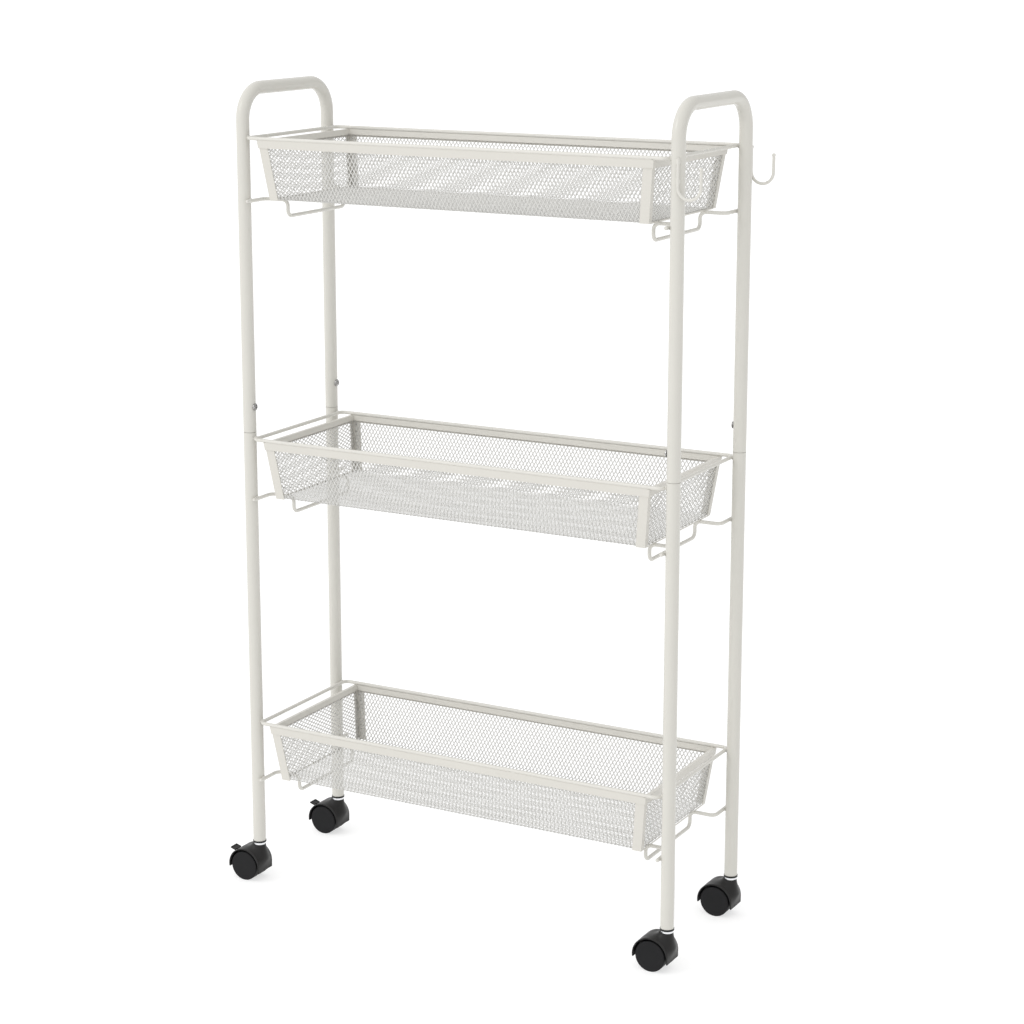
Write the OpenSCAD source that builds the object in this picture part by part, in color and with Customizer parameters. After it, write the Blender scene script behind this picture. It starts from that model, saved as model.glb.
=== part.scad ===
// Rolling pantry cart: two tube end frames, three mesh basket tiers, four twin-wheel casters.
// +X runs along the cart, from the plain casters' far end to the hook end; +Y runs to the back.
// The origin is on the floor, midway between the four legs.

/* [Frame] */
// Overall height, floor to the top of the handles
cart_h = 803; // [780:1:840]
// Distance between the left and right leg axes
leg_span_x = 456; // [440:1:480]
// Distance between the front and back leg axes
leg_span_y = 146; // [140:1:156]
// Outer diameter of the frame tubes
tube_d = 12.7; // [12.7:0.1:13.5]
// Wall thickness of the frame tubes
tube_wall = 1; // [0.8:0.1:1.2]
// Centreline radius of the bends in the handles
handle_bend = 30; // [26:1:34]
// Height of the lower end of the legs
leg_bottom_z = 42; // [41:0.5:45]
// Height of the seam between the handles and the lower legs
seam_z = 465; // [463:0.5:467]
// Height of the seam above which the joining screws sit
screw_rise = 25; // [20:1:30]

/* [Tiers] */
// Height of the top tier's rim wire
top_rim_z = 751; // [738:1:753]
// Height of the middle tier's rim wire
middle_rim_z = 458.7; // [453:0.1:460]
// Height of the bottom tier's rim wire
bottom_rim_z = 168.8; // [163:0.1:180]
// Diameter of the rim wires and the brackets
wire_d = 3.5; // [3:0.1:4]
// Distance from the rim wire's centre down to the basket's underside
basket_depth = 58.4; // [50:0.1:62]
// Length of the basket at its rim
basket_top_x = 412; // [400:1:418]
// Width of the basket at its rim
basket_top_y = 157; // [150:0.5:160]
// Length of the basket at its floor
basket_floor_x = 398; // [380:1:404]
// Width of the basket at its floor
basket_floor_y = 141.4; // [130:0.2:150]
// Thickness of the mesh sheet
mesh_t = 0.8; // [0.6:0.1:1]
// Thickness of the sheet metal rim band and corner strips
sheet_t = 0.8; // [0.6:0.1:1]
// Height of the rim band
band_h = 7.4; // [6:0.1:10]
// Distance that the rim band stands out from the mesh
band_out = 1.6; // [0.8:0.1:1.6]
// Width of a corner strip on the long side
strip_long = 8.5; // [6:0.5:12]
// Width of a corner strip on the short side
strip_short = 5; // [4:0.5:8]

/* [Brackets] */
// Distance between the two arms of a bracket
bracket_arm_y = 99; // [90:1:110]
// Distance from the cart's middle to a bracket's loop
bracket_loop_x = 194; // [185:1:200]
// Drop of the loop below the arms
bracket_drop = 15.5; // [12:0.5:20]
// Centreline radius of the bracket bends
bracket_bend = 6; // [5:0.5:7]

/* [Hooks] */
// Diameter of the hook wire
hook_wire_d = 2.8; // [2.5:0.1:3.2]
// Distance between the hook's two arms
hook_gap = 22; // [20:1:26]
// Height of the hook's bend, centre of the wire
hook_low_z = 716.4; // [708:0.1:723]
// Height of the free arm's tip
hook_tip_z = 743; // [733:1:748]

/* [Casters] */
// Wheel diameter
wheel_d = 30; // [28:0.5:30]
// Width of the hood
hood_w = 24.6; // [24:0.2:28]
// Distance that the axle trails behind the swivel axis
caster_trail = 12; // [11:0.5:12.5]
// Outer radius of the hood
hood_r = 18.2; // [18:0.1:18.6]
// Thickness of the hood's arch
hood_t = 1.3; // [1:0.1:1.6]
// Diameter of the caster stem
stem_d = 6; // [5.6:0.1:6.4]
// Diameter of the axle pin
axle_d = 4; // [3.6:0.1:4.4]
// Radial running clearance of the stem, the wheels and the brake pivot
run_gap = 0.05; // [0.02:0.01:0.1]

/* [Hidden] */
$fn = 48;

enamel = [0.93, 0.92, 0.88];
black_plastic = [0.13, 0.13, 0.14];
zinc = [0.72, 0.73, 0.74];
leg_x = leg_span_x / 2;
leg_y = leg_span_y / 2;
tube_r = tube_d / 2;
bore_r = tube_r - tube_wall;
wire_r = wire_d / 2;
// Welded wires sink this far into what they are welded to.
weld_sink = 0.2;
// Cuts run this far past the faces they open.
past = 1;

handle_top_z = cart_h - tube_r;
// Visible gap at the seam, length of the swaged spigot and of its solid shoulder
seam_gap = 0.4;
spigot_len = 40;
shoulder_len = 7;
spigot_r = bore_r - run_gap;
spigot_wall = 1;
screw_z = seam_z + screw_rise;
screw_r = 2;
screw_len = 9;
screw_head_r = 3.6;
screw_head_h = 2.2;
screw_dome_r = 4.9;
screw_dome_low = 2.6;
screw_in_head = 0.3;
screw_slot_w = 0.9;
screw_slot_len = 4.4;
screw_slot_low = 1.2;

rim_x = leg_x - tube_r - wire_r + weld_sink;
rim_y = basket_top_y / 2;
rim_bend = 6;
// The band hangs from the rim wire; the mesh hangs from the band.
band_top = -wire_r + weld_sink;
band_low = band_top - band_h;
mesh_in_band = 2;

bracket_z = -basket_depth - wire_r + weld_sink / 2;
bracket_end_y = 79.5;
hook_r = hook_wire_d / 2;
hook_ball_r = hook_r + 0.35;
// Half of the straight stretch at the hook's lowest point
hook_flat = 0.01;
hook_side = 3;
hook_x = leg_x + hook_side;
hook_y = leg_y + sqrt(pow(tube_r + hook_r - weld_sink / 2, 2) - pow(hook_side, 2));
hook_top_z = 751;

axle_z = wheel_d / 2;
web_half = 3.2;
wheel_gap = 0.3;
// The wheels' outer faces stand this far inside the hood's edges.
wheel_inset = 0.3;
wheel_face_y = hood_w / 2 - wheel_inset;
wheel_w = wheel_face_y - web_half - wheel_gap;
wheel_edge = 1.2;
wheel_face_t = 3.2;
wheel_rim_t = 2.2;
wheel_hub_r = 4.6;
// The axle ends this far inside the wheels' outer faces, and its bore runs a little deeper.
axle_inset = 2.5;
axle_end_gap = 0.5;
well_r = hood_r - hood_t;
// Directions from the axle to the hood's two lower tips
hood_tip_back = 190;
hood_tip_front = -14;
boss_r = 5.8;
boss_top_z = 38;
hub_r = 7.5;
flange_r = 5.9;
flange_t = 1.9;
flange_top_z = boss_top_z + flange_t;
socket_flange_r = tube_r + 0.4;
socket_flange_z = flange_top_z + wheel_gap;
socket_len = 28;
stem_len = 24;
stem_seat = 6;
stem_chamfer = 1;
rivet_r = 2.25;
rivet_z = 25;
// Brake lever, measured from the axle: pivot, peg and paddle places in the X-Z plane
brake_pivot = [-8.5, 9.5];
brake_peg = [-1.8, 10.05];
brake_pin_r = 1.5;
brake_peg_r = 1.3;
brake_peg_reach = 7;
brake_pivot_boss_r = 3;
brake_peg_boss_r = 2.2;
lever_half = 1.8;
// Blade below and above the peg's centre, end and thickness of the neck that carries the paddle
blade_low = 1.9;
blade_high = 1.5;
neck_end = [-15.6, 12.1];
neck_t = 2.2;
paddle_w = 10.4;
paddle_l = 6.2;
paddle_t = 1.6;
paddle_tilt = 18;
paddle_mid = [-17.9, 13.25];
// Slot in the hood for the lever: opposite corners of its parts, and its half width
slot_half = 2.1;
neck_slot = [[-19, 7.9], [brake_pivot[0], 13]];
pivot_slot_r = 3.6;
blade_slot = [[brake_pivot[0], 7.2], [1.1, 14]];
peg_window = [[brake_peg[0] - 2, 8.2], [brake_peg[0] + 1.8, 13.3]];

function unit(v) = v / norm(v);
function bend_angle(a, b, c) = acos(unit(b - a) * unit(c - b));
function setback(a, b, c, bend) = bend * tan(bend_angle(a, b, c) / 2);

// Straight round rod between two points.
module rod(a, b, r) {
    d = b - a;
    translate(a)
        rotate([0, acos(d[2] / norm(d)), atan2(d[1], d[0])])
            cylinder(h = norm(d), r = r);
}

// Bend of a rod at corner b, on the way from a to c.
module elbow(a, b, c, bend, r) {
    u = unit(b - a);
    v = unit(c - b);
    n = unit(v - (u * v) * u);
    w = cross(u, n);
    m = b - u * setback(a, b, c, bend) + n * bend;
    multmatrix([
        [-n[0], u[0], w[0], m[0]],
        [-n[1], u[1], w[1], m[1]],
        [-n[2], u[2], w[2], m[2]],
        [0, 0, 0, 1]
    ])
        rotate_extrude(angle = bend_angle(a, b, c))
            translate([bend, 0])
                circle(r);
}

// Open bent wire through the points, with the same bend at every inner point.
module bent_wire(p, bend, r) {
    last = len(p) - 1;
    for (i = [0 : last - 1]) {
        u = unit(p[i + 1] - p[i]);
        from = i == 0 ? p[0] : p[i] + u * setback(p[i - 1], p[i], p[i + 1], bend);
        to = i == last - 1 ? p[last] : p[i + 1] - u * setback(p[i], p[i + 1], p[i + 2], bend);
        rod(from, to, r);
    }
    for (i = [1 : last - 1]) elbow(p[i - 1], p[i], p[i + 1], bend, r);
}

// Closed bent wire through the points.
module closed_wire(p, bend, r) {
    n = len(p);
    for (i = [0 : n - 1]) {
        a = p[i];
        b = p[(i + 1) % n];
        c = p[(i + 2) % n];
        u = unit(b - a);
        before = setback(p[(i + n - 1) % n], a, b, bend);
        rod(a + u * before, b - u * setback(a, b, c, bend), r);
        elbow(a, b, c, bend, r);
    }
}

// Ring-shaped tube along Z from z0 to z1.
module tube(z0, z1, r_out, r_in) {
    translate([0, 0, z0])
        difference() {
            cylinder(h = z1 - z0, r = r_out);
            translate([0, 0, -past]) cylinder(h = z1 - z0 + 2 * past, r = r_in);
        }
}

// Half sizes of the basket's outer face at height z below the rim wire.
function rise(z) = (z + basket_depth) / (basket_depth + band_top);
function slope(z, top, floor_size) = (floor_size + (top - floor_size) * rise(z)) / 2;
function half_x(z) = slope(z, basket_top_x, basket_floor_x);
function half_y(z) = slope(z, basket_top_y, basket_floor_y);

// Block between heights z0 and z1 that follows the basket's sloping sides, grown outwards by g.
module basket_block(z0, z1, g) {
    x0 = half_x(z0) + g;
    y0 = half_y(z0) + g;
    x1 = half_x(z1) + g;
    y1 = half_y(z1) + g;
    polyhedron(
        points = [
            [-x0, -y0, z0], [x0, -y0, z0], [x0, y0, z0], [-x0, y0, z0],
            [-x1, -y1, z1], [x1, -y1, z1], [x1, y1, z1], [-x1, y1, z1]
        ],
        faces = [
            [0, 1, 2, 3], [7, 6, 5, 4], [0, 4, 5, 1],
            [1, 5, 6, 2], [2, 6, 7, 3], [3, 7, 4, 0]
        ]
    );
}

// ---- Frame ----

// Inverted U of tube: two uprights and the handle bar, cross-drilled for the joining screws.
module handle_tube(side) {
    x = side * leg_x;
    path = function(z) [
        [x, -leg_y, z], [x, -leg_y, handle_top_z], [x, leg_y, handle_top_z], [x, leg_y, z]
    ];
    color(enamel)
        difference() {
            bent_wire(path(seam_z), handle_bend, tube_r);
            bent_wire(path(seam_z - past), handle_bend, bore_r);
            for (y = [-leg_y, leg_y])
                rod([x, y, screw_z], [x - side * (tube_r + past), y, screw_z], screw_r);
        }
}

// Lower leg: tube with a reduced spigot at its top that plugs into the handle tube.
module lower_leg(side, depth) {
    top = seam_z - seam_gap;
    color(enamel)
        translate([side * leg_x, depth * leg_y, 0])
            difference() {
                union() {
                    cylinder_between(leg_bottom_z, top, tube_r);
                    cylinder_between(top - shoulder_len, seam_z + spigot_len, spigot_r);
                }
                cylinder_between(leg_bottom_z - past, top - shoulder_len, bore_r);
                cylinder_between(
                    top - shoulder_len - past, seam_z + spigot_len + past, spigot_r - spigot_wall
                );
                rod([0, 0, screw_z], [-side * (tube_r + past), 0, screw_z], screw_r);
            }
}

module cylinder_between(z0, z1, r) {
    translate([0, 0, z0]) cylinder(h = z1 - z0, r = r);
}

// Four pan-head screws that join the handles to the legs, heads on the legs' inner sides.
module joint_screws() {
    color(zinc)
        for (side = [-1, 1], y = [-leg_y, leg_y])
            translate([side * leg_x, y, screw_z])
                rotate([0, -side * 90, 0])
                    pan_head_screw();
}

// Screw along +Z from a tube's axis, its head seated on the tube's wall.
module pan_head_screw() {
    seat = tube_r;
    translate([0, 0, seat + screw_in_head - screw_len]) cylinder(h = screw_len, r = screw_r);
    difference() {
        intersection() {
            translate([0, 0, seat]) cylinder(h = screw_head_h, r = screw_head_r);
            translate([0, 0, seat - screw_dome_low]) sphere(r = screw_dome_r);
        }
        for (a = [0, 90])
            rotate([0, 0, a])
                translate([-screw_slot_len / 2, -screw_slot_w / 2, seat + screw_slot_low])
                    cube([screw_slot_len, screw_slot_w, screw_head_h]);
    }
}

// ---- Tiers ----

// Welded rectangle of wire that carries the basket and ties the four tubes together.
module rim_wire(z) {
    color(enamel)
        closed_wire(
            [[-rim_x, -rim_y, z], [rim_x, -rim_y, z], [rim_x, rim_y, z], [-rim_x, rim_y, z]],
            rim_bend, wire_r
        );
}

// Flat band of folded sheet that clamps the mesh's upper edge under the rim wire.
module rim_band(z) {
    color(enamel)
        translate([0, 0, z])
            difference() {
                basket_block(band_low, band_top, band_out);
                basket_block(band_low - past, band_low + mesh_in_band, 0);
                basket_block(band_low, band_top + past, -mesh_t - sheet_t);
            }
}

// Four L-shaped strips that cover the basket's corner seams.
module corner_strips(z) {
    color(enamel)
        translate([0, 0, z])
            for (side = [-1, 1], depth = [-1, 1])
                intersection() {
                    difference() {
                        basket_block(-basket_depth, band_low, sheet_t);
                        basket_block(-basket_depth - past, band_low + past, 0);
                    }
                    corner_zone(side, depth);
                }
}

// Space around one corner of the basket that its strip fills.
module corner_zone(side, depth) {
    x0 = half_x(-basket_depth) - strip_long;
    x1 = half_x(band_low) - strip_long;
    y0 = half_y(-basket_depth) - strip_short;
    y1 = half_y(band_low) - strip_short;
    far = basket_depth;
    scale([side, depth, 1])
        polyhedron(
            points = [
                [x0, y0, -basket_depth], [x0 + far, y0, -basket_depth],
                [x0 + far, y0 + far, -basket_depth], [x0, y0 + far, -basket_depth],
                [x1, y1, band_low], [x1 + far, y1, band_low],
                [x1 + far, y1 + far, band_low], [x1, y1 + far, band_low]
            ],
            faces = [
                [0, 1, 2, 3], [7, 6, 5, 4], [0, 4, 5, 1],
                [1, 5, 6, 2], [2, 6, 7, 3], [3, 7, 4, 0]
            ]
        );
}

// Tapered basket of mesh sheet, drawn as a closed skin.
module mesh_basket(z) {
    color(enamel)
        translate([0, 0, z])
            difference() {
                basket_block(-basket_depth, band_low + mesh_in_band, 0);
                basket_block(-basket_depth + mesh_t, band_low + mesh_in_band + past, -mesh_t);
            }
}

// Wire bracket under one end of a basket: welded to two legs, with a loop across the cart.
module bracket(side, z) {
    arm_y = bracket_arm_y / 2;
    arm_z = z + bracket_z;
    loop_z = arm_z - bracket_drop;
    x0 = side * rim_x;
    x1 = side * bracket_loop_x;
    color(enamel) {
        bent_wire(
            [
                [x0, -bracket_end_y, arm_z], [x0, -arm_y, arm_z], [x1, -arm_y, arm_z],
                [x1, -arm_y, loop_z], [x1, arm_y, loop_z], [x1, arm_y, arm_z],
                [x0, arm_y, arm_z], [x0, bracket_end_y, arm_z]
            ],
            bracket_bend, wire_r
        );
        for (y = [-bracket_end_y, bracket_end_y]) translate([x0, y, arm_z]) sphere(r = wire_r);
    }
}

// J-shaped wire hook welded to the outer side of a right-hand tube.
module hook(depth) {
    y = depth * hook_y;
    bend = hook_gap / 2 - hook_flat;
    color(enamel) {
        bent_wire(
            [
                [hook_x, y, hook_top_z], [hook_x, y, hook_low_z],
                [hook_x + hook_gap, y, hook_low_z], [hook_x + hook_gap, y, hook_tip_z]
            ],
            bend, hook_r
        );
        translate([hook_x + hook_gap, y, hook_tip_z]) sphere(r = hook_ball_r);
    }
}

// ---- Casters ----

module at_leg(side, depth) {
    translate([side * leg_x, depth * leg_y, 0]) children();
}

// Cylinder along Y centred on the axle, or on a point measured from it in the X-Z plane.
module cross_cylinder(p, half, r) {
    translate([p[0] - caster_trail, half, axle_z + p[1]])
        rotate([90, 0, 0])
            cylinder(h = 2 * half, r = r);
}

// Box centred on Y, with corners measured from the axle in the X-Z plane.
module cross_box(p0, p1, half) {
    translate([p0[0] - caster_trail, -half, axle_z + p0[1]])
        cube([p1[0] - p0[0], 2 * half, p1[1] - p0[1]]);
}

// Plastic socket pressed into the leg, with a flange over the tube's end.
module stem_socket(side, depth) {
    color(black_plastic)
        at_leg(side, depth)
            difference() {
                union() {
                    cylinder_between(socket_flange_z, leg_bottom_z, socket_flange_r);
                    cylinder_between(socket_flange_z, leg_bottom_z + socket_len, bore_r);
                }
                cylinder_between(
                    socket_flange_z - past, leg_bottom_z + socket_len + past, stem_d / 2 + run_gap
                );
            }
}

// Steel stem: pin in the socket, flange on the hood's boss, riveted end in the hood's web.
module caster_stem(side, depth) {
    top = flange_top_z + stem_len;
    color(zinc)
        at_leg(side, depth) {
            cylinder_between(boss_top_z - stem_seat, top - stem_chamfer, stem_d / 2);
            cylinder_between(boss_top_z, flange_top_z, flange_r);
            cylinder_between(rivet_z, boss_top_z, rivet_r);
            translate([0, 0, top - stem_chamfer])
                cylinder(h = stem_chamfer, r1 = stem_d / 2, r2 = stem_d / 2 - stem_chamfer);
        }
}

// Arched plastic hood with a centre web between the wheels; brake adds the lever's slot.
module caster_hood(side, depth, brake) {
    color(black_plastic)
        at_leg(side, depth)
            difference() {
                union() {
                    difference() {
                        union() {
                            cross_cylinder([0, 0], hood_w / 2, hood_r);
                            cylinder_between(axle_z, boss_top_z, boss_r);
                        }
                        for (s = [-1, 1])
                            translate([0, s * (web_half + hood_w / 2), 0])
                                cross_cylinder([0, 0], hood_w / 2, well_r);
                        below_tips();
                    }
                    cross_cylinder([0, 0], web_half, hub_r);
                }
                cross_cylinder([0, 0], web_half + past, axle_d / 2);
                cylinder_between(boss_top_z - stem_seat, boss_top_z + past, stem_d / 2);
                cylinder_between(rivet_z, boss_top_z, rivet_r);
                if (brake) brake_slot();
            }
}

// Everything under the line through the hood's two tips.
module below_tips() {
    drop = hood_r * (sin(hood_tip_back) - sin(hood_tip_front));
    run = hood_r * (cos(hood_tip_front) - cos(hood_tip_back));
    tip_x = hood_r * cos(hood_tip_back) - caster_trail;
    tip_z = axle_z + hood_r * sin(hood_tip_back);
    cut = 4 * hood_r;
    translate([tip_x, 0, tip_z])
        rotate([0, atan2(drop, run), 0])
            translate([-hood_r, -cut / 2, -cut])
                cube(cut);
}

// Slot, pivot bore and peg windows for the brake lever.
module brake_slot() {
    cross_box(neck_slot[0], neck_slot[1], slot_half);
    cross_cylinder(brake_pivot, slot_half, pivot_slot_r);
    cross_box(blade_slot[0], blade_slot[1], slot_half);
    cross_cylinder(brake_pivot, web_half + past, brake_pin_r + run_gap);
    cross_box(peg_window[0], peg_window[1], web_half + past);
}

// Brake lever: paddle outside the hood, blade in the web, pegs that press inside the wheel rims.
module brake_lever(side, depth) {
    color(black_plastic)
        at_leg(side, depth) {
            cross_cylinder(brake_pivot, web_half, brake_pin_r);
            cross_cylinder(brake_pivot, lever_half, brake_pivot_boss_r);
            cross_cylinder(brake_peg, brake_peg_reach, brake_peg_r);
            cross_cylinder(brake_peg, lever_half, brake_peg_boss_r);
            cross_box(
                [brake_pivot[0], brake_peg[1] - blade_low],
                [brake_peg[0], brake_peg[1] + blade_high],
                lever_half
            );
            neck_run = neck_end - brake_pivot;
            neck_tilt = atan2(neck_run[1], -neck_run[0]);
            neck_size = [norm(neck_run), 2 * lever_half, neck_t];
            tilted_plate(brake_pivot + neck_run / 2, neck_tilt, neck_size);
            tilted_plate(paddle_mid, paddle_tilt, [paddle_l, paddle_w, paddle_t]);
        }
}

// Plate centred on a point measured from the axle, sloping down towards the stem by tilt.
module tilted_plate(p, tilt, size) {
    translate([p[0] - caster_trail, 0, axle_z + p[1]])
        rotate([0, tilt, 0])
            translate(-size / 2)
                cube(size);
}

// Steel axle pin pressed through the hood's web.
module caster_axle(side, depth) {
    color(zinc)
        at_leg(side, depth)
            cross_cylinder([0, 0], wheel_face_y - axle_inset, axle_d / 2);
}

// Moulded wheel, closed on its outer face; facing is -1 for a front face and 1 for a back face.
module wheel(side, depth, facing) {
    color(black_plastic)
        at_leg(side, depth)
            translate([-caster_trail, facing * (web_half + wheel_gap), axle_z])
                rotate([-90 * facing, 0, 0])
                    wheel_body();
}

// Wheel along +Z, hollow from its inner face, with a blind bore for the axle.
module wheel_body() {
    r = wheel_d / 2;
    recess = wheel_w - wheel_face_t;
    axle_reach = wheel_w - axle_inset + axle_end_gap;
    difference() {
        union() {
            cylinder(h = wheel_w - wheel_edge, r = r);
            cylinder(h = wheel_w, r = r - wheel_edge);
            translate([0, 0, wheel_w - wheel_edge])
                rotate_extrude()
                    translate([r - wheel_edge, 0])
                        circle(r = wheel_edge);
        }
        translate([0, 0, -past]) tube(0, recess + past, r - wheel_rim_t, wheel_hub_r);
        translate([0, 0, -past]) cylinder(h = axle_reach + past, r = axle_d / 2 + run_gap);
    }
}

handle_tube(-1);  // left_handle_tube
handle_tube(1);  // right_handle_tube
lower_leg(-1, -1);  // front_left_leg
lower_leg(1, -1);  // front_right_leg
lower_leg(-1, 1);  // back_left_leg
lower_leg(1, 1);  // back_right_leg
joint_screws();

rim_wire(top_rim_z);  // top_rim_wire
rim_band(top_rim_z);  // top_rim_band
corner_strips(top_rim_z);  // top_corner_strips
mesh_basket(top_rim_z);  // top_mesh_basket
bracket(-1, top_rim_z);  // top_left_bracket
bracket(1, top_rim_z);  // top_right_bracket

rim_wire(middle_rim_z);  // middle_rim_wire
rim_band(middle_rim_z);  // middle_rim_band
corner_strips(middle_rim_z);  // middle_corner_strips
mesh_basket(middle_rim_z);  // middle_mesh_basket
bracket(-1, middle_rim_z);  // middle_left_bracket
bracket(1, middle_rim_z);  // middle_right_bracket

rim_wire(bottom_rim_z);  // bottom_rim_wire
rim_band(bottom_rim_z);  // bottom_rim_band
corner_strips(bottom_rim_z);  // bottom_corner_strips
mesh_basket(bottom_rim_z);  // bottom_mesh_basket
bracket(-1, bottom_rim_z);  // bottom_left_bracket
bracket(1, bottom_rim_z);  // bottom_right_bracket

hook(-1);  // front_hook
hook(1);  // back_hook

stem_socket(-1, -1);  // front_left_stem_socket
caster_stem(-1, -1);  // front_left_caster_stem
caster_hood(-1, -1, true);  // front_left_caster_hood
caster_axle(-1, -1);  // front_left_caster_axle
wheel(-1, -1, -1);  // front_left_wheel_outer
wheel(-1, -1, 1);  // front_left_wheel_inner
brake_lever(-1, -1);  // front_left_brake_lever

stem_socket(1, -1);  // front_right_stem_socket
caster_stem(1, -1);  // front_right_caster_stem
caster_hood(1, -1, false);  // front_right_caster_hood
caster_axle(1, -1);  // front_right_caster_axle
wheel(1, -1, -1);  // front_right_wheel_outer
wheel(1, -1, 1);  // front_right_wheel_inner

stem_socket(-1, 1);  // back_left_stem_socket
caster_stem(-1, 1);  // back_left_caster_stem
caster_hood(-1, 1, true);  // back_left_caster_hood
caster_axle(-1, 1);  // back_left_caster_axle
wheel(-1, 1, 1);  // back_left_wheel_outer
wheel(-1, 1, -1);  // back_left_wheel_inner
brake_lever(-1, 1);  // back_left_brake_lever

stem_socket(1, 1);  // back_right_stem_socket
caster_stem(1, 1);  // back_right_caster_stem
caster_hood(1, 1, false);  // back_right_caster_hood
caster_axle(1, 1);  // back_right_caster_axle
wheel(1, 1, 1);  // back_right_wheel_outer
wheel(1, 1, -1);  // back_right_wheel_inner
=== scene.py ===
"""Looks of the rolling pantry cart: enamelled wire and mesh, black casters, soft white studio."""
import math
import random

import bmesh
import bpy
import numpy as np
from mathutils import Matrix, Vector, noise as relief


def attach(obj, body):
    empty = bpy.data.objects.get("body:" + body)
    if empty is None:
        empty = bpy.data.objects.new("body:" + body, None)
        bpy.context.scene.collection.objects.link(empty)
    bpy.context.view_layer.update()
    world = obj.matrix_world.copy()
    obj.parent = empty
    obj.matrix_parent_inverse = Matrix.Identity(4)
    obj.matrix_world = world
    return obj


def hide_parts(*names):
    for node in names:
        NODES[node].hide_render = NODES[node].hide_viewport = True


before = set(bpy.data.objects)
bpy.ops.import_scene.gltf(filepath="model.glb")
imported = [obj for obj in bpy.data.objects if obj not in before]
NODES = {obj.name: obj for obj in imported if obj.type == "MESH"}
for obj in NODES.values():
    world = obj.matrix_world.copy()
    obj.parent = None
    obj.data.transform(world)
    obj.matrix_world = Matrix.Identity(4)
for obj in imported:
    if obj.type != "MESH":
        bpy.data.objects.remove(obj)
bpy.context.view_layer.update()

MM = 0.001
TIERS = ("top", "middle", "bottom")
CORNERS = ("front_left", "front_right", "back_left", "back_right")


# ---- Small helpers ----

def new_object(name, mesh, body, material):
    """Links a mesh as a piece that rides on a CAD body."""
    piece = bpy.data.objects.new(name, mesh)
    bpy.context.scene.collection.objects.link(piece)
    mesh.materials.append(material)
    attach(piece, body)
    return piece


def mesh_of(name, bm, smooth=True):
    """Turns a bmesh into a mesh and frees it."""
    mesh = bpy.data.meshes.new(name)
    bm.to_mesh(mesh)
    bm.free()
    if smooth:
        mesh.shade_smooth()
    return mesh


def round_edges(piece, width, harden=False):
    """Rounds the sharp edges of a sheet piece."""
    edge = piece.modifiers.new("rounded_edges", "BEVEL")
    edge.width = width
    edge.segments = 2
    edge.limit_method = "ANGLE"
    edge.harden_normals = harden


def vertex_array(node):
    """A CAD node's vertices as rows of X, Y, Z."""
    rows = np.empty(len(NODES[node].data.vertices) * 3, np.float32)
    NODES[node].data.vertices.foreach_get("co", rows)
    return rows.reshape(-1, 3).astype(float)


def span(node):
    """Lowest and highest corner of a CAD node."""
    rows = vertex_array(node)
    return rows.min(axis=0), rows.max(axis=0)


def middle(node):
    """Centre of a CAD node's box."""
    return sum(span(node)) / 2


# ---- Distance fields, in millimetres: negative inside a shape ----

def soft_min(a, b, k):
    """Union of two fields with a fillet of about k."""
    h = np.maximum(k - np.abs(a - b), 0) / k
    return np.minimum(a, b) - h * h * k / 4


def soft_max(a, b, k):
    """Intersection of two fields with an edge rounded by about k."""
    return -soft_min(-a, -b, k)


def rounded(offsets, halves, r):
    """Box in any number of axes, centred on zero, with edges of radius r."""
    q = np.stack([np.abs(o) - (h - r) for o, h in zip(offsets, halves)], axis=-1)
    return np.linalg.norm(np.maximum(q, 0), axis=-1) + np.minimum(q.max(axis=-1), 0) - r


def cross_rod(x, y, z, centre, radius, half, r):
    """Rod along Y through a point of the X-Z plane, with edges of radius r."""
    reach = np.hypot(x - centre[0], z - centre[1])
    return rounded((reach, y), (radius, half), r)


def cross_block(x, y, z, low, high, half, r):
    """Block centred on Y between two corners in the X-Z plane, with edges of radius r."""
    offsets = (x - (low[0] + high[0]) / 2, y, z - (low[1] + high[1]) / 2)
    return rounded(offsets, ((high[0] - low[0]) / 2, half, (high[1] - low[1]) / 2), r)


REFINEMENTS = 2
LEAST_SLOPE = 0.1


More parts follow.
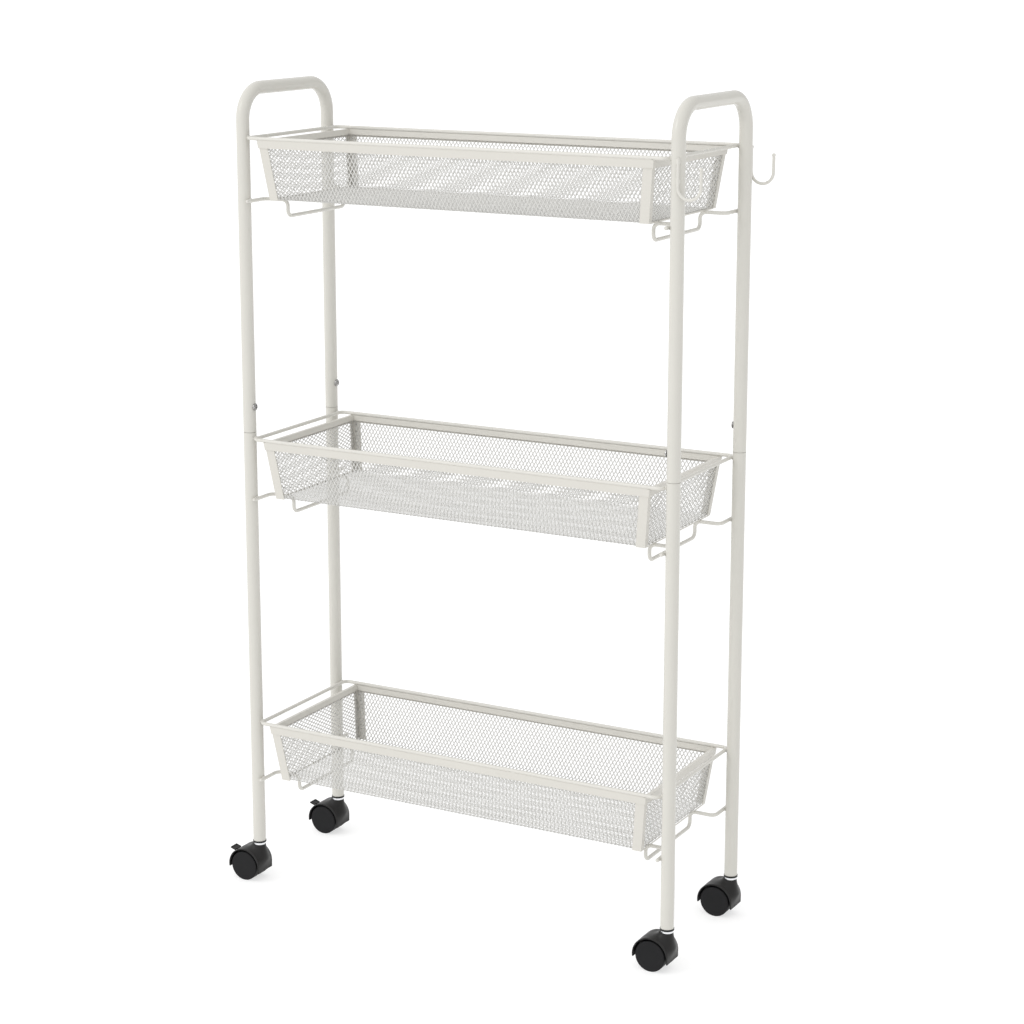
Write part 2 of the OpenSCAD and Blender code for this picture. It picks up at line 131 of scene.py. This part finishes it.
def skin(name, field, low, high, step, place):
    """Mesh of the surface where a field is zero; place is the field's origin in the cart."""
    grid = np.stack(
        np.meshgrid(*[np.arange(low[i], high[i] + step, step) for i in range(3)], indexing="ij"), axis=-1
    )
    value = field(*np.moveaxis(grid, -1, 0))
    inside = value < 0
    cells = tuple(np.array(value.shape) - 1)
    total, count = np.zeros((*cells, 3)), np.zeros(cells)
    crossings = []
    # Each cell gets the average of the places where the surface cuts its edges
    for axis in range(3):
        start, end = [slice(None)] * 3, [slice(None)] * 3
        start[axis], end[axis] = slice(0, -1), slice(1, None)
        start, end = tuple(start), tuple(end)
        cut = inside[start] != inside[end]
        gap = np.where(cut, value[start] - value[end], 1)
        point = grid[start].copy()
        point[..., axis] += np.where(cut, value[start] / gap, 0) * step
        crossings.append((cut, inside[start]))
        others = [(axis + 1) % 3, (axis + 2) % 3]
        for shift in ((0, 0), (0, 1), (1, 0), (1, 1)):
            part = [slice(None)] * 3
            for other, by in zip(others, shift):
                part[other] = slice(by, by + cells[other])
            part = tuple(part)
            total += point[part] * cut[part][..., None]
            count += cut[part]
    used = count > 0
    index = np.full(cells, -1)
    index[used] = np.arange(used.sum())
    points = total[used] / count[used][:, None]
    nudge = 0.1 * step
    # Each point moves along the field's slope onto the surface
    for _ in range(REFINEMENTS):
        here = field(*points.T)
        rises = [field(*(points + way).T) - field(*(points - way).T) for way in np.eye(3) * nudge]
        slope = np.stack(rises, axis=-1) / (2 * nudge)
        points -= slope * (here / np.maximum((slope * slope).sum(axis=-1), LEAST_SLOPE))[:, None]

    faces = []
    # Each edge that the surface cuts becomes a quad between the four cells round it
    for axis, (cut, outward) in enumerate(crossings):
        u, v = (axis + 1) % 3, (axis + 2) % 3
        at = np.argwhere(cut)
        at = at[(at[:, u] > 0) & (at[:, u] < cells[u]) & (at[:, v] > 0) & (at[:, v] < cells[v])]
        ring = []
        for du, dv in ((1, 1), (0, 1), (0, 0), (1, 0)):
            cell = at.copy()
            cell[:, u] -= du
            cell[:, v] -= dv
            ring.append(index[tuple(cell.T)])
        quads = np.column_stack(ring)
        back = ~outward[tuple(at.T)]
        quads[back] = quads[back][:, ::-1]
        faces.append(quads)
    mesh = bpy.data.meshes.new(name)
    mesh.from_pydata((place + points * MM).tolist(), [], np.concatenate(faces).tolist())
    mesh.shade_smooth()
    return mesh


# ---- Materials ----

def node_material(name):
    """An empty node material: its tree, its shader and a function that adds a node."""
    material = bpy.data.materials.new(name)
    material.use_nodes = True
    tree = material.node_tree
    shader = tree.nodes["Principled BSDF"]

    def add(kind, **values):
        node = tree.nodes.new(kind)
        for key, value in values.items():
            if key in node.inputs:
                node.inputs[key].default_value = value
            else:
                setattr(node, key, value)
        return node

    return material, tree, shader, add


def noise(tree, add, scale, detail):
    """Noise in the cart's own frame; scale is in features per metre."""
    place = add("ShaderNodeTexCoord")
    texture = add("ShaderNodeTexNoise", Scale=scale, Detail=detail)
    tree.links.new(place.outputs["Object"], texture.inputs["Vector"])
    return texture.outputs["Fac"]


def ramp(tree, add, source, low, high):
    """Maps a 0..1 value to the range low..high, or blends two colours with it."""
    if isinstance(low, tuple):
        mix = add("ShaderNodeMix", data_type="RGBA")
        tree.links.new(source, mix.inputs["Factor"])
        mix.inputs["A"].default_value = (*low, 1)
        mix.inputs["B"].default_value = (*high, 1)
        return mix.outputs["Result"]
    spread = add("ShaderNodeMapRange")
    tree.links.new(source, spread.inputs["Value"])
    spread.inputs["To Min"].default_value = low
    spread.inputs["To Max"].default_value = high
    return spread.outputs["Result"]


EDGE_RADIUS = 0.6 * MM
BUMP_HEIGHT = 0.2 * MM
# Agreement of the rounded and the real normal where wear starts and where it is full
WEAR_START, WEAR_FULL = 0.97, 0.72
WEAR_SCALE, MOTTLE_SCALE, GLOSS_SCALE = 260, 30, 120


def coated(name, light, dark, rough, grain, bump, worn, metallic=0.0, specular=0.5):
    """Painted or moulded finish: mottled colour, uneven gloss, fine grain and worn edges."""
    material, tree, shader, add = node_material(name)
    link = tree.links.new
    edge = add("ShaderNodeBevel", samples=4, Radius=EDGE_RADIUS)
    flat = add("ShaderNodeNewGeometry")
    agree = add("ShaderNodeVectorMath", operation="DOT_PRODUCT")
    link(edge.outputs["Normal"], agree.inputs[0])
    link(flat.outputs["Normal"], agree.inputs[1])
    wear = add("ShaderNodeMapRange")
    link(agree.outputs["Value"], wear.inputs["Value"])
    wear.inputs["From Min"].default_value = WEAR_START
    wear.inputs["From Max"].default_value = WEAR_FULL
    patchy = add("ShaderNodeMath", operation="MULTIPLY")
    link(wear.outputs["Result"], patchy.inputs[0])
    link(noise(tree, add, WEAR_SCALE, 5), patchy.inputs[1])
    paint = ramp(tree, add, noise(tree, add, MOTTLE_SCALE, 3), light, dark)
    blend = add("ShaderNodeMix", data_type="RGBA")
    link(patchy.outputs["Value"], blend.inputs["Factor"])
    link(paint, blend.inputs["A"])
    blend.inputs["B"].default_value = (*worn, 1)
    link(blend.outputs["Result"], shader.inputs["Base Color"])
    link(ramp(tree, add, noise(tree, add, GLOSS_SCALE, 4), *rough), shader.inputs["Roughness"])
    skin_bump = add("ShaderNodeBump", Strength=bump, Distance=BUMP_HEIGHT)
    link(noise(tree, add, grain, 2), skin_bump.inputs["Height"])
    link(skin_bump.outputs["Normal"], shader.inputs["Normal"])
    shader.inputs["Metallic"].default_value = metallic
    shader.inputs["Specular IOR Level"].default_value = specular
    return material


WORN_ENAMEL = (0.55, 0.53, 0.48)
WORN_PLASTIC = (0.05, 0.05, 0.052)
WORN_ZINC = (0.7, 0.7, 0.72)
WORN_STEEL = (0.9, 0.9, 0.92)
METAL = 1.0

# Name, light and dark colour, roughness range, grain per metre, bump, worn colour, metallic, specular
tube_enamel = coated(
    "tube_enamel", (0.615, 0.602, 0.555), (0.592, 0.58, 0.535), (0.16, 0.26), 900, 0.07, WORN_ENAMEL
)
wire_enamel = coated(
    "wire_enamel", (0.645, 0.632, 0.588), (0.62, 0.607, 0.563), (0.2, 0.32), 1100, 0.08, WORN_ENAMEL
)
sheet_enamel = coated(
    "sheet_enamel", (0.63, 0.612, 0.565), (0.605, 0.588, 0.542), (0.26, 0.38), 900, 0.1, WORN_ENAMEL
)
mesh_enamel = coated(
    "mesh_enamel", (0.67, 0.665, 0.642), (0.645, 0.64, 0.618), (0.32, 0.46), 1200, 0.08, WORN_ENAMEL
)
zinc = coated(
    "zinc", (0.5, 0.49, 0.48), (0.28, 0.275, 0.27), (0.14, 0.24), 1500, 0.1, WORN_ZINC, METAL
)
steel = coated(
    "steel", (0.85, 0.86, 0.88), (0.74, 0.75, 0.77), (0.12, 0.25), 1500, 0.06, WORN_STEEL, METAL
)
hood_plastic = coated(
    "hood_plastic", (0.015, 0.0145, 0.0142), (0.011, 0.0107, 0.0104), (0.34, 0.46), 1400, 0.15,
    WORN_PLASTIC, specular=0.26
)
wheel_plastic = coated(
    "wheel_plastic", (0.013, 0.0131, 0.0138), (0.0095, 0.0096, 0.0104), (0.5, 0.62), 1400, 0.2,
    WORN_PLASTIC, specular=0.16
)

FINISHES = [
    ("handle_tube", tube_enamel), ("_leg", tube_enamel), ("rim_wire", wire_enamel),
    ("rim_band", sheet_enamel), ("corner_strips", sheet_enamel), ("mesh_basket", mesh_enamel),
    ("bracket", wire_enamel), ("hook", wire_enamel), ("joint_screws", zinc),
    ("stem_socket", hood_plastic), ("caster_stem", steel), ("caster_hood", hood_plastic),
    ("caster_axle", steel), ("wheel", wheel_plastic), ("brake_lever", hood_plastic),
]
SHEET_EDGE = 0.25 * MM
for node_name, node in NODES.items():
    for part, finish in FINISHES:
        if part in node_name:
            node.data.materials.clear()
            node.data.materials.append(finish)
            break
    if node_name.endswith(("rim_band", "corner_strips")):
        round_edges(node, SHEET_EDGE, harden=True)


# ---- Mesh baskets ----

CELL_X = 4.0 * MM
CELL_Y = 7.2 * MM
STRAND = 0.98 * MM
STRAND_T = 0.6 * MM
LOUVRE = 0.12 * MM
FOLD_R = 2.2 * MM
SHEET_MID = 0.4 * MM
TOP_HIDDEN = 0.3 * MM
# Heights closer than this count as one
SAME_LEVEL = 0.1 * MM


def basket_walls(tier):
    """Lowest and highest height of a basket, and its half sizes in X and Y there."""
    solid = vertex_array(tier + "_mesh_basket")
    low, high = solid[:, 2].min(), solid[:, 2].max()
    floor_half, top_half = (
        np.abs(solid[np.abs(solid[:, 2] - level) < SAME_LEVEL][:, :2]).max(axis=0) for level in (low, high)
    )
    return low, high, floor_half, top_half


class Fold:
    """Side view of one basket wall: distance along the sheet from the centre to outward reach and height."""

    def __init__(self, floor_half, top_half, low, high):
        self.low = low + SHEET_MID
        lean = math.atan2(top_half - floor_half, high - low)
        self.turn = math.pi / 2 - lean
        self.lean = lean
        corner = floor_half - SHEET_MID / math.cos(lean) + SHEET_MID * math.tan(lean)
        self.flat = corner - FOLD_R * math.tan(self.turn / 2)
        self.arc = FOLD_R * self.turn
        rise = FOLD_R * (1 - math.cos(self.turn))
        self.length = self.flat + self.arc + (high - TOP_HIDDEN - self.low - rise) / math.cos(lean)

    def place(self, s, n):
        """Reach and height of a point at distance s along the sheet and n outside its middle."""
        s = np.minimum(s, self.length)
        angle = np.clip((s - self.flat) / FOLD_R, 0, self.turn)
        beyond = np.maximum(s - self.flat - self.arc, 0)
        reach = np.minimum(s, self.flat) + FOLD_R * np.sin(angle) + beyond * math.sin(self.lean)
        height = self.low + FOLD_R * (1 - np.cos(angle)) + beyond * math.cos(self.lean)
        return reach + n * np.sin(angle), height - n * np.cos(angle)


def expanded_basket(name, low, high, floor_half, top_half):
    """One cross-shaped piece of expanded metal, folded up along the four edges of its floor."""
    folds = [Fold(floor_half[i], top_half[i], low, high) for i in (0, 1)]
    step = (CELL_X / 2, CELL_Y / 2)
    opening = 1 - STRAND / 2 / (step[0] * step[1] / math.hypot(*step))
    keys, points, faces = {}, [], []

    def vertex(key, p, q, n, way):
        if (key, way) not in keys:
            keys[key, way] = len(points)
            points.append((p * step[0], q * step[1], n, way))
        return keys[key, way]

    edges = {}
    count = [int(folds[i].length / step[i]) + 1 for i in (0, 1)]
    for p in range(-count[0], count[0] + 1):
        for q in range(-count[1] + (p + count[1]) % 2, count[1] + 1, 2):
            x, y = abs(p) * step[0], abs(q) * step[1]
            past = (x > folds[0].flat, y > folds[1].flat)
            if x > folds[0].length or y > folds[1].length:
                continue
            # Past both folds, a cell is on the end wall (0), on the side wall (1) or in the cut-out corner
            if past[0] and past[1]:
                beyond = [(x, y)[i] - folds[i].flat for i in (0, 1)]
                lean = [math.sin(f.lean) for f in folds]
                if beyond[0] < lean[0] * beyond[1]:
                    way = 1
                elif beyond[1] < lean[1] * beyond[0]:
                    way = 0
                else:
                    continue
            else:
                way = 0 if past[0] else 1
            corner = ((-1, 0), (0, 1), (1, 0), (0, -1))
            inner = [
                vertex(("hole", p, q, k), p + opening * dx, q + opening * dy, LOUVRE * dx, way)
                for k, (dx, dy) in enumerate(corner)
            ]
            front = [vertex(("f", p + dx, q + dy), p + dx, q + dy, STRAND_T / 2, way) for dx, dy in corner]
            back = [vertex(("b", p + dx, q + dy), p + dx, q + dy, -STRAND_T / 2, way) for dx, dy in corner]
            for k in range(4):
                m = (k + 1) % 4
                faces.append((front[k], inner[k], inner[m], front[m]))
                faces.append((back[k], back[m], inner[m], inner[k]))
                edge = frozenset((front[k], front[m]))
                edges.setdefault(edge, []).append((front[k], front[m], back[m], back[k]))
    faces += [same[0] for same in edges.values() if len(same) == 1]

    rows = np.array(points)
    x, y, n, way = rows.T
    across = way == 1
    fold_x, fold_y = folds
    reach_y, height_y = fold_y.place(np.abs(y), n)
    reach_x, height_x = fold_x.place(np.abs(x), n)
    height = np.where(across, height_y, height_x)
    share = np.clip((height - low) / (high - low), 0, 1)
    limit_x = floor_half[0] + share * (top_half[0] - floor_half[0]) - SHEET_MID
    limit_y = floor_half[1] + share * (top_half[1] - floor_half[1]) - SHEET_MID
    flat = (np.abs(x) <= fold_x.flat) & (np.abs(y) <= fold_y.flat)
    out_x = np.where(across & ~flat, np.minimum(np.abs(x), limit_x), reach_x)
    out_y = np.where(across, reach_y, np.minimum(np.abs(y), limit_y))
    out = np.column_stack([np.sign(x) * out_x, np.sign(y) * out_y, height])
    mesh = bpy.data.meshes.new(name)
    mesh.from_pydata(out.tolist(), [], faces)
    mesh.shade_smooth()
    return mesh


for tier in TIERS:
    name = tier + "_expanded_mesh"
    mesh = expanded_basket(name, *basket_walls(tier))
    basket = new_object(name, mesh, "frame", mesh_enamel)
    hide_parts(tier + "_mesh_basket")


# ---- Caster hoods and brake levers, measured in millimetres from the axle ----
# The last number given to each field function is the radius of an edge or fillet.

HOOD_R = 18.2
WELL_R = 16.9
RIM_R = 0.4
HOOD_HALF = 12.2
WEB_HALF = 3.2
HUB_R = 7.5
AXLE_R = 2.0
TRAIL = 12.0
BOSS_R = 5.8
BOSS_TOP = 23.0
BOSS_LOW = 8.0
BOSS_FILLET = 13.0
STEM_R = 3.0
STEM_LOW = 17.0
RIVET_R = 2.25
RIVET_LOW = 10.0
TIPS = ((-17.92, -3.16), (18.20, -5.20))
BRAKED = ("front_left", "back_left")
PIVOT = (-8.5, 9.5)
PIN_R = 1.5
PEG = (-1.8, 10.05)
PEG_R = 1.3
PEG_HALF = 7.0
# The hood's room for the lever: a slot for the neck and one for the blade, both this wide
SLOT_HALF = 2.1
NECK_SLOT = ((-19, 7.9), (PIVOT[0], 13.0))
BLADE_SLOT = ((PIVOT[0], 7.2), (1.1, 14))
PIVOT_ROOM_R = 3.6
PIN_GAP = 0.05
PEG_WINDOW = ((PEG[0] - 2, 8.2), (PEG[0] + 1.8, 13.3))
# The lever: a blade from pivot to pegs with a boss at each, a neck and a dished paddle
LEVER_HALF = 1.8
BLADE = ((PIVOT[0], PEG[1] - 1.9), (PEG[0], PEG[1] + 1.5))
PIVOT_BOSS_R = 3.0
PEG_BOSS_R = 2.2
NECK_END = (-15.6, 12.1)
NECK_HALF = 1.1
PADDLE = (-17.9, 13.25)
PADDLE_TILT = math.radians(18)
PADDLE_HALVES = (3.1, 5.2, 0.8)
DISH_HALVES = (2.1, 4.2, 0.7)
DISH_RISE = 1.0
# Lowest and highest corner of the space each skin is sought in, and its voxel
HOOD_SPACE = ((-18.9, -13.0, -7.9), (21.0, 13.0, 23.9), 0.36)
LEVER_SPACE = ((-22.0, -7.7, 6.0), (1.2, 7.7, 15.8), 0.24)


def hood_body(x, y, z):
    """Arch that runs straight down at the stem's end, with its centre web and stem boss."""
    reach = np.hypot(x, np.where(x > 0, np.maximum(z, 0), z))
    (x0, z0), (x1, z1) = TIPS
    length = math.hypot(x1 - x0, z1 - z0)
    under = ((z1 - z0) * (x - x0) - (x1 - x0) * (z - z0)) / length
    shell = rounded((reach - (HOOD_R + WELL_R) / 2, y), ((HOOD_R - WELL_R) / 2, HOOD_HALF), RIM_R)
    boss_mid, boss_half = (BOSS_TOP + BOSS_LOW) / 2, (BOSS_TOP - BOSS_LOW) / 2
    boss = rounded((np.hypot(x - TRAIL, y), z - boss_mid), (BOSS_R, boss_half), 0.5)
    outer = soft_max(soft_min(shell, boss, BOSS_FILLET), z - BOSS_TOP, 0.5)
    outer = soft_max(outer, np.abs(y) - HOOD_HALF, 0.2)
    outer = soft_max(outer, np.minimum(WELL_R - reach, np.abs(y) - WEB_HALF), 0.3)
    web = rounded((reach, y), (HOOD_R - 0.5, WEB_HALF), 0.3)
    solid = soft_max(soft_min(outer, web, 1.2), under, 1.0)
    solid = soft_min(solid, rounded((np.hypot(x, z), y), (HUB_R, WEB_HALF), 0.4), 0.6)
    solid = np.maximum(solid, AXLE_R - np.hypot(x, z))
    stem = np.hypot(x - TRAIL, y)
    solid = np.maximum(solid, -np.maximum(stem - STEM_R, STEM_LOW - z))
    return np.maximum(solid, -np.maximum(stem - RIVET_R, RIVET_LOW - z))


def braked_hood(x, y, z):
    """Hood with the slot, pivot bore and peg window of the brake lever."""
    slots = (
        cross_block(x, y, z, *NECK_SLOT, SLOT_HALF, 0.4),
        cross_rod(x, y, z, PIVOT, PIVOT_ROOM_R, SLOT_HALF, 0.2),
        cross_block(x, y, z, *BLADE_SLOT, SLOT_HALF, 0.3),
        cross_rod(x, y, z, PIVOT, PIN_R + PIN_GAP, WEB_HALF + 1, 0.1),
        cross_block(x, y, z, *PEG_WINDOW, WEB_HALF + 1, 0.4),
    )
    solid = hood_body(x, y, z)
    for slot in slots:
        solid = soft_max(solid, -slot, 0.25)
    return solid


def turned(x, z, centre, tilt):
    """Distances along and above a line through a point that slopes down towards the stem by tilt."""
    dx, dz = x - centre[0], z - centre[1]
    return dx * math.cos(tilt) - dz * math.sin(tilt), dx * math.sin(tilt) + dz * math.cos(tilt)


def brake_lever(x, y, z):
    """Lever with its pivot, pegs and a paddle that has a raised border."""
    blade = cross_block(x, y, z, *BLADE, LEVER_HALF, 0.3)
    blade = soft_min(blade, cross_rod(x, y, z, PIVOT, PIVOT_BOSS_R, LEVER_HALF, 0.3), 0.8)
    blade = soft_min(blade, cross_rod(x, y, z, PEG, PEG_BOSS_R, LEVER_HALF, 0.3), 0.8)
    run = (PIVOT[0] - NECK_END[0], NECK_END[1] - PIVOT[1])
    along, above = turned(x, z, (NECK_END[0] + run[0] / 2, PIVOT[1] + run[1] / 2), math.atan2(run[1], run[0]))
    neck = rounded((along, y, above), (math.hypot(*run) / 2, LEVER_HALF, NECK_HALF), 0.4)
    along, above = turned(x, z, PADDLE, PADDLE_TILT)
    paddle = rounded((along, y, above), PADDLE_HALVES, 0.5)
    dish = rounded((along, y, above - DISH_RISE), DISH_HALVES, 0.3)
    paddle = soft_max(paddle, -dish, 0.3)
    solid = soft_min(soft_min(blade, neck, 0.8), paddle, 1.0)
    solid = np.minimum(solid, cross_rod(x, y, z, PIVOT, PIN_R, WEB_HALF, 0.2))
    return soft_min(solid, cross_rod(x, y, z, PEG, PEG_R, PEG_HALF, 0.3), 0.4)


for corner in CORNERS:
    axle = middle(corner + "_caster_axle")
    field = braked_hood if corner in BRAKED else hood_body
    name = corner + "_moulded_hood"
    mesh = skin(name, field, *HOOD_SPACE, axle)
    hood = new_object(name, mesh, corner + "_caster", hood_plastic)
    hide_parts(corner + "_caster_hood")
    if corner in BRAKED:
        name = corner + "_moulded_lever"
        mesh = skin(name, brake_lever, *LEVER_SPACE, axle)
        lever = new_object(name, mesh, corner + "_brake", hood_plastic)
        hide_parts(corner + "_brake_lever")


# ---- Welds and edge strips on the tiers ----

BEAD_DETAIL = 3
BEAD_ROUGHNESS = 0.16
BEAD_SCALE = 1.8
BEAD_X = 1.7 * MM
BEAD_Z = 2.4 * MM
# Least and greatest half length of a weld bead, in millimetres
BEAD_LONG = (2.6, 3.3)
HOOK_BEAD_LONG = (2.9, 3.6)
BEAD_SINK = 0.5 * MM
SPOT_X = 69 * MM
SPOT_RADII = (2.4 * MM, 0.7 * MM, 0.75 * MM)
SPOT_SINK = 0.75 * MM
SPOT_RISE = 0.15 * MM
HOOK_BEAD_RADII = (2.2 * MM, 1.9 * MM)
HOOK_BEAD_IN = 0.9 * MM
HOOK_BEAD_X = 1.1 * MM
# How far below the hook's top its two welds sit
HOOK_BEAD_DROPS = (1.8 * MM, 19 * MM)
dice = random.Random(11)


def bead(bm, centre, radii):
    """One small uneven weld bead."""
    made = bmesh.ops.create_icosphere(bm, subdivisions=BEAD_DETAIL, radius=1)
    offset = Vector([dice.uniform(0, 50) for _ in range(3)])
    for vert in made["verts"]:
        swell = 1 + BEAD_ROUGHNESS * relief.noise(vert.co * BEAD_SCALE + offset)
        vert.co = Vector(centre) + Vector([c * r * swell for c, r in zip(vert.co, radii)])


def tier_beads(name, tier):
    """Beads where a tier's wires meet the four tubes, and spot welds along its front and back."""
    bm = bmesh.new()
    wire_low, wire_high = span(tier + "_rim_wire")
    wire_z = (wire_low[2] + wire_high[2]) / 2
    wire_r = (wire_high[2] - wire_low[2]) / 2
    bracket_z = span(tier + "_left_bracket")[1][2] - wire_r
    leg_y = middle("back_left_leg")[1]
    for sx in (-1, 1):
        for sy in (-1, 1):
            for z in (wire_z, bracket_z):
                place = (sx * (wire_high[0] - BEAD_SINK), sy * leg_y, z)
                long = dice.uniform(*BEAD_LONG)
                bead(bm, place, (BEAD_X, long * MM, BEAD_Z))
            spot = (sx * SPOT_X, sy * (wire_high[1] - SPOT_SINK), wire_low[2] + SPOT_RISE)
            bead(bm, spot, SPOT_RADII)
    return mesh_of(name, bm)


def hook_beads(name):
    """Two beads that join each hook to its tube."""
    bm = bmesh.new()
    for depth in ("front", "back"):
        low, high = span(depth + "_hook")
        hook_y = (low[1] + high[1]) / 2
        inner = (abs(hook_y) - HOOK_BEAD_IN) * math.copysign(1, hook_y)
        for drop in HOOK_BEAD_DROPS:
            place = (low[0] + HOOK_BEAD_X, inner, high[2] - drop)
            bead(bm, place, (*HOOK_BEAD_RADII, dice.uniform(*HOOK_BEAD_LONG) * MM))
    return mesh_of(name, bm)


for tier in TIERS:
    name = tier + "_weld_beads"
    new_object(name, tier_beads(name, tier), "frame", wire_enamel)
new_object("hook_weld_beads", hook_beads("hook_weld_beads"), "frame", wire_enamel)


STRIP_H = 0.9 * MM
STRIP_IN = 0.5 * MM
STRIP_T = 0.5 * MM
STRIP_END = 4.4 * MM
STRIP_EDGE = 0.15 * MM
SEAM_END = 2.0 * MM
# The seam's outline, in millimetres out from and above the rim wire's middle
SEAM = ((0.9, -1.6), (1.45, -1.6), (1.24, -1.38), (1.16, -1.18), (1.2, -0.98), (1.38, -0.75), (0.9, -0.75))


def prism(bm, near, far):
    """Adds a closed prism between two matching outlines."""
    rings = [[bm.verts.new(point) for point in outline] for outline in (near, far)]
    for i in range(len(near)):
        j = (i + 1) % len(near)
        bm.faces.new((rings[0][i], rings[0][j], rings[1][j], rings[1][i]))
    bm.faces.new(rings[0][::-1])
    bm.faces.new(rings[1])
    bmesh.ops.recalc_face_normals(bm, faces=bm.faces)


def end_strips(name, tier):
    """Folded strips along the bottom edges of a basket's two end walls."""
    low, high, foot, top = basket_walls(tier)
    lean = (top[0] - foot[0]) / (high - low)
    half = foot[1] - STRIP_END
    profile = (
        (foot[0] - STRIP_IN, low - STRIP_T), (foot[0] + STRIP_T, low - STRIP_T),
        (foot[0] + STRIP_T + lean * STRIP_H, low + STRIP_H), (foot[0] + lean * STRIP_H, low + STRIP_H),
        (foot[0], low), (foot[0] - STRIP_IN, low),
    )
    bm = bmesh.new()
    for side in (-1, 1):
        prism(bm, *[[(side * x, y, z) for x, z in profile] for y in (-half, half)])
    return mesh_of(name, bm, smooth=False)


def rim_seam(name, tier):
    """Paint that fills the outer groove between the rim wire and the band's long sides."""
    wire_low, wire_high = span(tier + "_rim_wire")
    wire_r = (wire_high[2] - wire_low[2]) / 2
    wire_y, wire_z = wire_high[1] - wire_r, wire_high[2] - wire_r
    half = span(tier + "_rim_band")[1][0] - SEAM_END
    bm = bmesh.new()
    for side in (-1, 1):
        prism(bm, *[[(x, side * (wire_y + y * MM), wire_z + z * MM) for y, z in SEAM] for x in (-half, half)])
    return mesh_of(name, bm, smooth=False)


for tier in TIERS:
    name = tier + "_end_strips"
    strip = new_object(name, end_strips(name, tier), "frame", sheet_enamel)
    round_edges(strip, STRIP_EDGE)
    name = tier + "_rim_seam"
    new_object(name, rim_seam(name, tier), "frame", sheet_enamel)


# ---- Studio ----

FLOOR_HALF = 80
FLOOR_SHADES = ((0.455, 0.455, 0.455), (0.445, 0.445, 0.445))
FLOOR_MOTTLE_SCALE = 20
FLOOR_ROUGHNESS = 0.85
FLOOR_GLOW = 0.62
# The surroundings dim along this direction, from the strength at -0.8 to the one at 0.8
DIM_WAY = (0.42, 0.55, -0.72)
DIMMING = (("From Min", -0.8), ("From Max", 0.8), ("To Min", 1.2), ("To Max", 0.5))
KEY_WAY = (-0.75, -0.8, 0.75)
KEY_POWER, KEY_ANGLE = 0.35, math.radians(26)
STRIP_PLACE, STRIP_AIM = (-1.3, -2.6, 2.1), (0, 0, 0.45)
STRIP_SIZE, STRIP_POWER = (0.5, 2.4), 5
CAMERA_PLACE = (1.0939, -1.9451, 0.9399)
CAMERA_YAW, CAMERA_PITCH = math.radians(28.81), math.radians(12.25)
# Focal length and sensor width in millimetres; the shift is a share of the picture's width
CAMERA_LENS, CAMERA_SENSOR, CAMERA_SHIFT = 83.65, 36, -0.0596


def linked(name, data):
    """A camera, light or mesh put in the scene as an object."""
    thing = bpy.data.objects.new(name, data)
    bpy.context.scene.collection.objects.link(thing)
    return thing


def pale_floor():
    """Large floor that glows a little, so that it stays white."""
    mesh = bpy.data.meshes.new("floor")
    corners = [(sx * FLOOR_HALF, sy * FLOOR_HALF, 0) for sx, sy in ((-1, -1), (1, -1), (1, 1), (-1, 1))]
    mesh.from_pydata(corners, [], [(0, 1, 2, 3)])
    floor = linked("floor", mesh)
    pale, tree, shader, add = node_material("floor")
    tint = ramp(tree, add, noise(tree, add, FLOOR_MOTTLE_SCALE, 2), *FLOOR_SHADES)
    tree.links.new(tint, shader.inputs["Base Color"])
    shader.inputs["Roughness"].default_value = FLOOR_ROUGHNESS
    shader.inputs["Emission Color"].default_value = (1, 1, 1, 1)
    shader.inputs["Emission Strength"].default_value = FLOOR_GLOW
    mesh.materials.append(pale)


def white_surroundings():
    """White world that dims towards the back right and the floor."""
    world = bpy.data.worlds.new("studio")
    world.use_nodes = True
    tree = world.node_tree
    background = tree.nodes["Background"]
    background.inputs["Color"].default_value = (1, 1, 1, 1)
    place = tree.nodes.new("ShaderNodeTexCoord")
    away = tree.nodes.new("ShaderNodeVectorMath")
    away.operation = "DOT_PRODUCT"
    tree.links.new(place.outputs["Generated"], away.inputs[0])
    away.inputs[1].default_value = DIM_WAY
    across = tree.nodes.new("ShaderNodeMapRange")
    tree.links.new(away.outputs["Value"], across.inputs["Value"])
    for socket, value in DIMMING:
        across.inputs[socket].default_value = value
    tree.links.new(across.outputs["Result"], background.inputs["Strength"])
    bpy.context.scene.world = world


def studio_lights():
    """Soft sun from the front left and a tall strip box that glints on the tubes."""
    key = bpy.data.lights.new("key", "SUN")
    key.energy = KEY_POWER
    key.angle = KEY_ANGLE
    lamp = linked("key", key)
    lamp.rotation_mode = "QUATERNION"
    lamp.rotation_quaternion = Vector(KEY_WAY).to_track_quat("Z", "Y")

    strip = bpy.data.lights.new("strip_box", "AREA")
    strip.shape = "RECTANGLE"
    strip.size, strip.size_y = STRIP_SIZE
    strip.energy = STRIP_POWER
    place = Vector(STRIP_PLACE)
    turn = (place - Vector(STRIP_AIM)).to_track_quat("Z", "Y")
    linked("strip_box", strip).matrix_world = Matrix.Translation(place) @ turn.to_matrix().to_4x4()


def photo_camera():
    """Camera in front of the cart and to its right, a little above it."""
    sin_yaw, cos_yaw = math.sin(CAMERA_YAW), math.cos(CAMERA_YAW)
    level = math.cos(CAMERA_PITCH)
    forward = Vector((-sin_yaw * level, cos_yaw * level, -math.sin(CAMERA_PITCH)))
    right = Vector((cos_yaw, sin_yaw, 0))
    turn = Matrix((right, right.cross(forward), -forward)).transposed()
    data = bpy.data.cameras.new("camera")
    data.lens = CAMERA_LENS
    data.sensor_width = CAMERA_SENSOR
    data.shift_y = CAMERA_SHIFT
    camera = linked("camera", data)
    camera.matrix_world = Matrix.Translation(CAMERA_PLACE) @ turn.to_4x4()
    bpy.context.scene.camera = camera
    bpy.context.scene.view_settings.view_transform = "Standard"


pale_floor()
white_surroundings()
studio_lights()
photo_camera()
